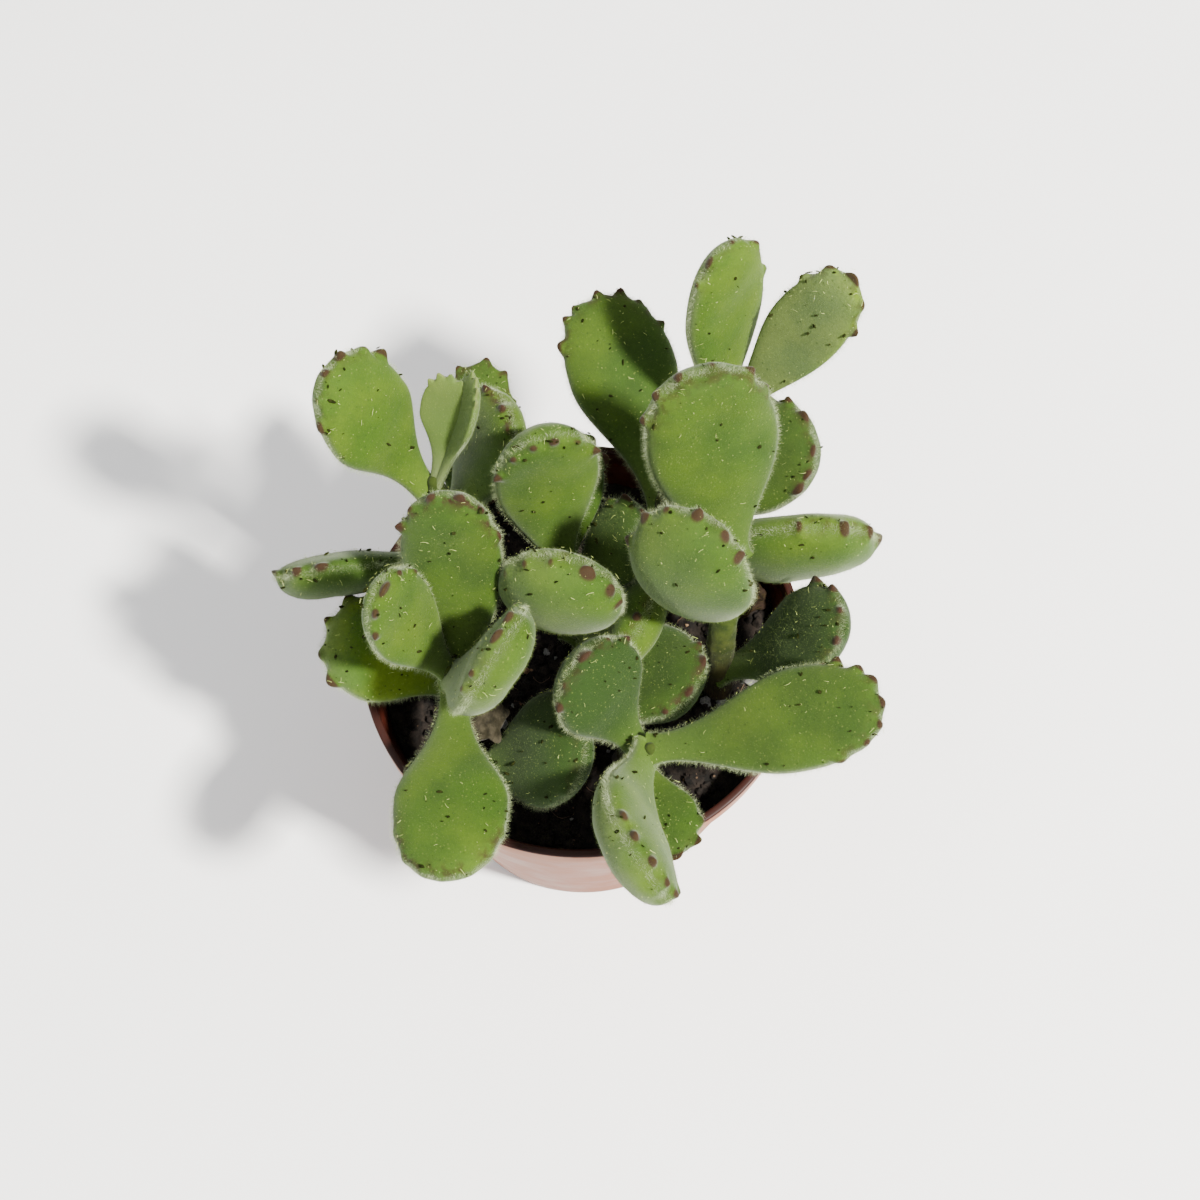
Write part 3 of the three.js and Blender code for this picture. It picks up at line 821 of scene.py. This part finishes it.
def leaf_frame(heading, rise, roll):
    """The directions along a leaf, to its side and out of its upper face."""
    h, r = math.radians(heading), math.radians(rise)
    ahead = Vector((math.cos(h) * math.cos(r), math.sin(h) * math.cos(r), math.sin(r)))
    side = Matrix.Rotation(math.radians(roll), 3, ahead) @ Vector((-math.sin(h), math.cos(h), 0))
    return np.array(ahead), np.array(side), np.array(ahead.cross(side))


def leaf_skin(
    base, heading, rise, length, width, fill, roll, curl, claws, claw_raise, seed,
    claw_share=1, lobed=False,
):
    """Points, triangles and masks of one leaf."""
    dice = np.random.default_rng(seed)
    spread, claw_length, scallop_depth = CLAW_SPREAD, CLAW_LENGTH, SCALLOP_DEPTH * claw_share
    if lobed:
        spread, claw_length, scallop_depth = LOBE_SPREAD, LOBE_LENGTH, LOBE_DEPTH
    edge, claw, in_end, scallop = blade_edge(length, width, fill, claws, spread, dice)
    claw = claw * claw_share
    phases = dice.uniform(0, 2 * np.pi, 6)
    along, across, spine = edge.T
    petiole = width * PETIOLE_THICKNESS
    blade = (width - THIN_WIDTH) * THICKNESS
    thickness = petiole + (blade - petiole) * swell(spine / WIDEST_AT, fill)
    bend = math.radians(curl)
    ahead, side, up = leaf_frame(heading, rise, roll)

    def rows(turn, face):
        reach = math.sin(turn)
        full = math.cos(turn) ** EDGE_FULLNESS if turn < 1.57 else 0.0
        outward = np.column_stack([(along - spine) * length, across])
        far = np.maximum(np.linalg.norm(outward, axis=1), 1e-6)
        near_claw = closeness((math.pi / 2 - turn) * face - claw_raise, CLAW_BAND)
        near_rim = closeness(math.pi / 2 - turn, SCALLOP_BAND)
        growth = near_claw * claw_length * claw + near_rim * scallop_depth * scallop
        outward *= (1 + growth / far)[:, None]
        t = spine + outward[:, 0] * reach / length
        y = outward[:, 1] * reach
        depth = thickness * (UPPER_SHARE if face > 0 else 1 - UPPER_SHARE)
        x = t * length
        ripple = 0.22 * np.sin(x / 4.1 + phases[0] + 0.7 * np.sin(y / 3.3 + phases[1]))
        ripple += 0.14 * np.sin(y / 2.3 + phases[2] + x / 6.0)
        ripple += 0.07 * np.sin(x / 1.6 + y / 2.1 + phases[3])
        out = EDGE_LIFT * (2 * y / width) ** 2 + face * depth * full
        out = out + ripple * swell(t / WIDEST_AT, fill) * (0.35 + 0.65 * full)
        out = out + 0.45 * claw * near_claw * claw_length
        y = y + 0.30 * np.sin(x / 7.0 + phases[4]) * swell(t / WIDEST_AT, fill)
        return t, y, out, near_claw

    def placed(t, y, out):
        turned_by = bend * (t - 0.5)
        run = length / bend * (np.sin(turned_by) + math.sin(bend / 2))
        dip = length / bend * (math.cos(bend / 2) - np.cos(turned_by))
        forward = run - np.sin(turned_by) * out
        upward = dip + np.cos(turned_by) * out
        return base + forward[:, None] * ahead + upward[:, None] * up + y[:, None] * side

    count = len(along)
    points, masks = [], {"claw": [], "end": [], "along": [], "margin": []}

    def add_row(turn, face):
        start = sum(len(p) for p in points)
        t, y, out, near_claw = rows(turn, face)
        points.append(placed(t, y, out))
        from_rim = math.pi / 2 - turn
        masks["claw"].append(claw * near_claw)
        masks["end"].append(in_end * closeness(from_rim * face - 0.2, BLUSH_BAND))
        masks["along"].append(t)
        masks["margin"].append(np.full(count, closeness(from_rim, MARGIN_BAND)))
        return start + np.arange(count)

    rim = add_row(RING_TURNS[0], 1)
    triangles = []
    for face in (1, -1):
        lines = [rim] + [add_row(turn, face) for turn in RING_TURNS[1:]]
        spine_row = add_row(0.0, face)
        mirrored = np.minimum(np.arange(count), count - 1 - np.arange(count))
        lines.append(spine_row[mirrored])
        for outer, inner in zip(lines, lines[1:]):
            a, b, c, d = outer[:-1], outer[1:], inner[1:], inner[:-1]
            pairs = [(a, c, b), (a, d, c)] if face > 0 else [(a, b, c), (a, c, d)]
            triangles += [np.column_stack(trio) for trio in pairs]
        foot = [line[0] for line in lines] + [line[-1] for line in lines][::-1][1:]
        fan = [(foot[0], foot[k], foot[k + 1]) for k in range(1, len(foot) - 1)]
        triangles.append(np.array(fan if face > 0 else [corners[::-1] for corners in fan]))
    triangles = np.vstack(triangles)
    triangles = triangles[np.all(triangles != np.roll(triangles, 1, axis=1), axis=1)]
    points = np.vstack(points)
    used, packed = np.unique(triangles, return_inverse=True)
    masks = {key: np.concatenate(value)[used] for key, value in masks.items()}
    return points[used], packed.reshape(-1, 3), masks


def flesh_finish(name, deep, bright, yellow, petiole, frost, claw_colour, claw_strength):
    """The downy green skin of a leaf, with its own greens."""
    finish, tree, shader = new_finish(name)
    # The tone is partly the leaf's own green and partly painted light: low values darken a leaf as painted
    # shade, high ones brighten and yellow it as painted sunlight
    tone_and_painted_light = read_mask(tree, "tone_and_painted_light")
    cloudy = blotched(tree, 6.0, 0.3)
    lighter = calculate(tree, "MULTIPLY_ADD", cloudy, 0.5, calculate(tree, "SUBTRACT", tone_and_painted_light, 0.2))
    green = mix_colours(tree, calculate(tree, "MULTIPLY", lighter, 1.0, clamp=True), deep, bright)
    sunny = calculate(tree, "MULTIPLY", blotched(tree, 13.0, 0.2, 0.55), tone_and_painted_light, clamp=True)
    green = mix_colours(tree, sunny, green, yellow)
    near_stem = ease(tree, read_mask(tree, "along"), 0.45, 0.05, 0.7)
    green = mix_colours(tree, near_stem, green, petiole)
    # Pale down along the margin, and a painted sheen of sky light where a face turns left, away from the
    # lamp
    hoary_and_sheen = calculate(tree, "MULTIPLY_ADD", read_mask(tree, "margin"), 0.1, read_mask(tree, "down_and_sheen"))
    green = mix_colours(tree, hoary_and_sheen, green, frost)
    # Pale pores, dark pits and a fine mottling
    for mask, strength, colour in (
        (specked(tree, 0.6, 0.12, 0.4), 0.4, (0.16, 0.20, 0.045)),
        (specked(tree, 0.85, 0.17, 0.25), 0.45, deep),
        (blotched(tree, 0.45, 0.3), 0.28, deep),
    ):
        green = mix_colours(tree, calculate(tree, "MULTIPLY", mask, strength), green, colour)
    flush = blotched(tree, 1.6, 0.1, 0.52)
    for factor in (read_mask(tree, "end"), read_mask(tree, "blush"), claw_strength):
        flush = calculate(tree, "MULTIPLY", flush, factor)
    green = mix_colours(tree, flush, green, claw_colour)
    clawed = ease(tree, read_mask(tree, "claw"), 0.2, 0.48, claw_strength)
    green = mix_colours(tree, clawed, green, claw_colour)
    coat(
        tree, shader, green, (0.3, 0.6, 0.14), Roughness=0.72, Specular_IOR_Level=0.1,
        Sheen_Weight=0.15, Sheen_Roughness=0.45, Sheen_Tint=(0.92, 1.0, 0.82, 1),
        Subsurface_Weight=0.15, Subsurface_Radius=(0.8, 1.0, 0.25), Subsurface_Scale=2 * MM,
    )
    return finish


leaf_finish = flesh_finish(
    "Downy leaf", (0.013, 0.032, 0.0035), (0.037, 0.081, 0.005), (0.085, 0.135, 0.006),
    (0.060, 0.105, 0.014), (0.17, 0.21, 0.10), (0.024, 0.0085, 0.0045), 0.92,
)

leaf_pieces = {}
for number, (name, (stem, height, *shape, tone_and_painted_light, blush)) in enumerate(LEAVES.items()):
    base = stem_middle(STEMS[stem], height)
    claw_share = SHORT_CLAWS.get(name, 1)
    points, triangles, masks = leaf_skin(base, *shape, seed=100 + number, claw_share=claw_share)
    piece = shape_piece(f"{name}_leaf", points, triangles)
    for mask, values in masks.items():
        paint_points(piece, mask, values)
    # The tone, with painted shade for dark leaves and painted sunlight for bright ones
    paint_points(piece, "tone_and_painted_light", np.full(len(points), tone_and_painted_light))
    paint_points(piece, "blush", np.full(len(points), blush))
    # Faces turned left, away from the key lamp, are greyed by a painted sheen of sky light
    turned_left = np.array([0.35 - 1.3 * v.normal.x for v in piece.data.vertices]).clip(0, 1)
    paint_points(piece, "down_and_sheen", DENSE_DOWN_AND_SHEEN.get(name, THIN_DOWN_AND_SHEEN) * turned_left)
    settle(piece, leaf_finish, "leaf", f"leaf_{name}")
    leaf_pieces[name] = piece


# The young pair at the tip of the left back stem is still pale and soft. Its leaves stand face to face
# and are joined at the foot, with rounded lobes where the claws will be.
YOUNG_PAIR = [
    (25, 72, 57, 20, 8, 1.8, 0, 10, 5),
    (25, 53, 58, 22, 8, 1.8, -38, 10, 5),
]
YOUNG_TONE = 0.6

young_finish = flesh_finish(
    "Young downy leaf", (0.055, 0.090, 0.016), (0.080, 0.130, 0.026), (0.13, 0.17, 0.035),
    (0.13, 0.16, 0.07), (0.18, 0.22, 0.10), (0.13, 0.15, 0.045), 0.5,
)
pair = []
for number, (height, *shape) in enumerate(YOUNG_PAIR):
    base = stem_middle(STEMS["leftback"], height)
    pair.append(leaf_skin(base, *shape, claw_raise=0, seed=200 + number, lobed=True))
young_pair = heap_up("young_leaf_pair", [leaf[:2] for leaf in pair])
for mask in pair[0][2]:
    paint_points(young_pair, mask, np.concatenate([leaf[2][mask] for leaf in pair]))
paint_points(young_pair, "tone_and_painted_light", np.full(len(young_pair.data.vertices), YOUNG_TONE))
settle(young_pair, young_finish, "young_leaf", "leaf_leftback_5")


# The withered leaf is an old one that hangs near the foot of a stem. It has dried to a thin, wrinkled,
# grey-brown scrap.
WITHERED_HEIGHT = 7
WITHERED_SHAPE = (300, 12, 10, 8, 1.2, 20, -50, 3)

withered_finish = blotched_finish(
    "Dried leaf", 1.8, (0.014, 0.012, 0.006), (0.045, 0.038, 0.024), edge=0.15,
    bumps=(0.5, 0.9, 0.3), Roughness=0.9, Specular_IOR_Level=0.1, Sheen_Weight=0.05,
)
base = stem_middle(STEMS["leftfront"], WITHERED_HEIGHT)
points, triangles, masks = leaf_skin(base, *WITHERED_SHAPE, claw_raise=0, seed=300)
points[:, 2] += [
    noise.noise(Vector(p) / 1.3) * 0.35 + noise.noise(Vector(p) / 0.5) * 0.12 for p in points]
withered = shape_piece("withered_leaf", points, triangles)
settle(withered, withered_finish, "withered_leaf", "leaf_withered")


# The down is a coat of short, pale, soft hairs that grow from every leaf and stem, longest and closest
# along the edges of the leaves, where it makes a pale halo. Each hair is one thin tapering blade.
HAIR_LENGTHS = (0.2, 0.5)
HAIR_WIDTH = 0.015
HAIR_SPREAD = 0.35
HAIR_DEPTH = 0.05
LEAF_HAIRS_PER_MM2 = 10
STEM_HAIRS_PER_MM2 = 3
# How much denser, longer and wider the hairs are along the edges
MARGIN_DENSITY = 3.0
MARGIN_LENGTH = 1.5
MARGIN_WIDTH = 0.4

hair_finish, tree, shader = new_finish("White down")
lit = blotched(tree, 5.0, 0.3)
short = mix_colours(tree, lit, (0.10, 0.15, 0.035), (0.16, 0.21, 0.065))
long = mix_colours(tree, lit, (0.27, 0.33, 0.16), (0.42, 0.48, 0.29))
downy = mix_colours(tree, read_mask(tree, "edge"), short, long)
coat(tree, shader, downy, Roughness=0.6, Specular_IOR_Level=0.3)


def read_rows(items, name, kind=float):
    """Three numbers in a row, read from the points or the corners of a mesh."""
    values = np.empty(len(items) * (3 if kind is float else 1), kind)
    items.foreach_get(name, values)
    return values.reshape(-1, 3)


def painted(mesh, name):
    """The numbers that were painted on a mesh under that name, or zeros."""
    values = np.zeros(len(mesh.vertices))
    if name in mesh.attributes:
        mesh.attributes[name].data.foreach_get("value", values)
    return values


def grow_down(name, skins, slot, density, seed):
    """Hairs rooted all over the given skins, as one piece."""
    dice = np.random.default_rng(seed)
    blades, edges = [], []
    for skin in skins:
        mesh = skin.data
        points, normals = read_rows(mesh.vertices, "co") / MM, read_rows(mesh.vertices, "normal")
        corners = read_rows(mesh.loops, "vertex_index", np.int32)
        margin, bare = painted(mesh, "margin"), painted(mesh, "claw")
        a, b, c = (points[corners[:, k]] for k in range(3))
        areas = np.linalg.norm(np.cross(b - a, c - a), axis=1) / 2
        areas = np.where(a[:, 2] < SOIL_TOP - 1, 0, areas)
        areas *= 1 + MARGIN_DENSITY * margin[corners].mean(axis=1)
        areas *= 1 - np.clip(1.5 * bare[corners].mean(axis=1), 0, 0.95)
        count = int(areas.sum() * density)
        picked = dice.choice(len(areas), count, p=areas / areas.sum())
        u, v = dice.uniform(size=(2, count))
        flip = u + v > 1
        u, v = np.where(flip, 1 - u, u), np.where(flip, 1 - v, v)
        weights = np.column_stack([1 - u - v, u, v])
        root, out = (
            sum(rows[corners[picked, k]] * weights[:, k:k + 1] for k in range(3))
            for rows in (points, normals)
        )
        out = unit(out)
        edge_share = (margin[corners[picked]] * weights).sum(axis=1)[:, None]
        lean = unit(out + HAIR_SPREAD * dice.normal(size=(count, 3)))
        flat = unit(np.cross(lean, dice.normal(size=(count, 3))))
        reach = dice.uniform(*HAIR_LENGTHS, size=(count, 1)) * (1 + MARGIN_LENGTH * edge_share)
        foot = root - HAIR_DEPTH * out
        flat *= HAIR_WIDTH / 2 * (1 + MARGIN_WIDTH * edge_share)
        blades.append(np.stack([foot - flat, foot + flat, root + lean * reach], axis=1))
        edges.append(np.repeat(edge_share[:, 0], 3))
    blades = np.vstack(blades).reshape(-1, 3)
    down = shape_piece(name, blades, np.arange(len(blades)).reshape(-1, 3), smooth=False)
    paint_points(down, "edge", np.concatenate(edges))
    settle(down, hair_finish, slot)


for number, name in enumerate(STEMS):
    skins = [piece for key, piece in leaf_pieces.items() if key.rsplit("_", 1)[0] == name]
    skins += [young_pair] if name == "leftback" else []
    grow_down(f"{name}_leaf_down", skins, "leaf", LEAF_HAIRS_PER_MM2, 400 + number)
grow_down("stem_down", stem_pieces.values(), "stem", STEM_HAIRS_PER_MM2, 500)


# Crumbs of black peat and scraps of pale fibre caught in the down when the plant was potted and watered.
# They lie loose on the sides of the leaves that face up.
CAUGHT_CRUMBS = 38
CAUGHT_FIBRES = 75

crumb_finish = blotched_finish(
    "Caught peat", 0.8, (0.006, 0.009, 0.002), (0.020, 0.022, 0.006),
    Roughness=1.0, Specular_IOR_Level=0.0,
)
pale_finish = blotched_finish(
    "Caught fibre", 0.9, (0.34, 0.42, 0.10), (0.52, 0.60, 0.20), Roughness=0.8)

dice = np.random.default_rng(600)


def spots_on(points, count):
    """Yields seeded places on a leaf, with the direction out of it at each."""
    for k in dice.choice(len(points), count, replace=False):
        yield k, np.array(points[k].co) / MM, np.array(points[k].normal)


caught, pale = [], []
for piece in leaf_pieces.values():
    facing_up = [v for v in piece.data.vertices if v.normal.z > 0.25]
    for k, spot, out in spots_on(facing_up, CAUGHT_CRUMBS):
        points, triangles = lump(int(k), 0.06 + 0.3 * dice.uniform() ** 3, 0.5)
        points[:, 0] *= dice.uniform(1.0, 2.2)
        caught.append((turned_at_random(points, dice) + spot + out * 0.2, triangles))
    for _, spot, out in spots_on(facing_up, CAUGHT_FIBRES):
        ahead = np.cross(out, dice.normal(size=3))
        ahead /= np.linalg.norm(ahead)
        swerve = np.cross(out, ahead) * dice.uniform(-0.6, 0.6)
        length = 0.12 + 1.0 * dice.uniform() ** 5
        path = [
            spot + out * 0.5 + ahead * length * s + swerve * length * s ** 2
            for s in np.linspace(0, 1, 4)
        ]
        pale.append(strand(path, dice.uniform(0.016, 0.038)))
settle(heap_up("caught_crumbs", caught, smooth=False), crumb_finish, "potting_mix")
settle(heap_up("caught_fibres", pale), pale_finish, "potting_mix")


# The studio: a pale floor, one small lamp high on the right like the sun, a wide fill, and a camera that
# looks down steeply from the front.
FLOOR_REACH = 3000
TARGET = Vector((2.9, 7.5, 62)) * MM
CAMERA_RISE = 68
CAMERA_DISTANCE = 350

floor_corners = [(x * FLOOR_REACH, y * FLOOR_REACH, 0) for x, y in ((-1, -1), (1, -1), (1, 1), (-1, 1))]
floor = shape_piece("floor", floor_corners, [(0, 1, 2), (0, 2, 3)])
floor.data.materials.append(blotched_finish(
    "Pale floor", 60.0, (0.90, 0.90, 0.90), (0.94, 0.94, 0.94), edge=0.4, Roughness=0.9))
floor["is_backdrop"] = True


def hang_lamp(name, azimuth, elevation, distance, size, watts, colour):
    """A square lamp, its angles in degrees and its distance and size in metres."""
    lamp = bpy.data.objects.new(name, bpy.data.lights.new(name, "AREA"))
    lamp.data.size = size
    lamp.data.energy = watts
    lamp.data.color = colour
    a, e = math.radians(azimuth), math.radians(elevation)
    way = Vector((math.cos(a) * math.cos(e), math.sin(a) * math.cos(e), math.sin(e)))
    lamp.location = TARGET + way * distance
    lamp.rotation_euler = way.to_track_quat("Z", "Y").to_euler()
    bpy.context.scene.collection.objects.link(lamp)


hang_lamp("key_lamp", -33, 56, 1.2, 0.10, 62, (1.0, 0.97, 0.90))
hang_lamp("fill_lamp", 200, 60, 1.4, 1.6, 6, (0.92, 0.96, 1.0))
world = bpy.data.worlds.new("Studio")
world.use_nodes = True
set_inputs(world.node_tree.nodes["Background"], Color=(1, 1, 1, 1), Strength=0.95)
bpy.context.scene.world = world

rise = math.radians(CAMERA_RISE)
camera = bpy.data.objects.new("camera", bpy.data.cameras.new("camera"))
camera.data.lens = 65.2
camera.data.sensor_width = 36
camera.data.clip_start = 0.01
camera.location = TARGET + Vector((0, -math.cos(rise), math.sin(rise))) * CAMERA_DISTANCE * MM
camera.rotation_euler = (math.pi / 2 - rise, 0, 0)
bpy.context.scene.collection.objects.link(camera)
bpy.context.scene.camera = camera

low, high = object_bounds()
{"solid": [list(solid_low), list(solid_high)], "dressed": [list(low), list(high)]}
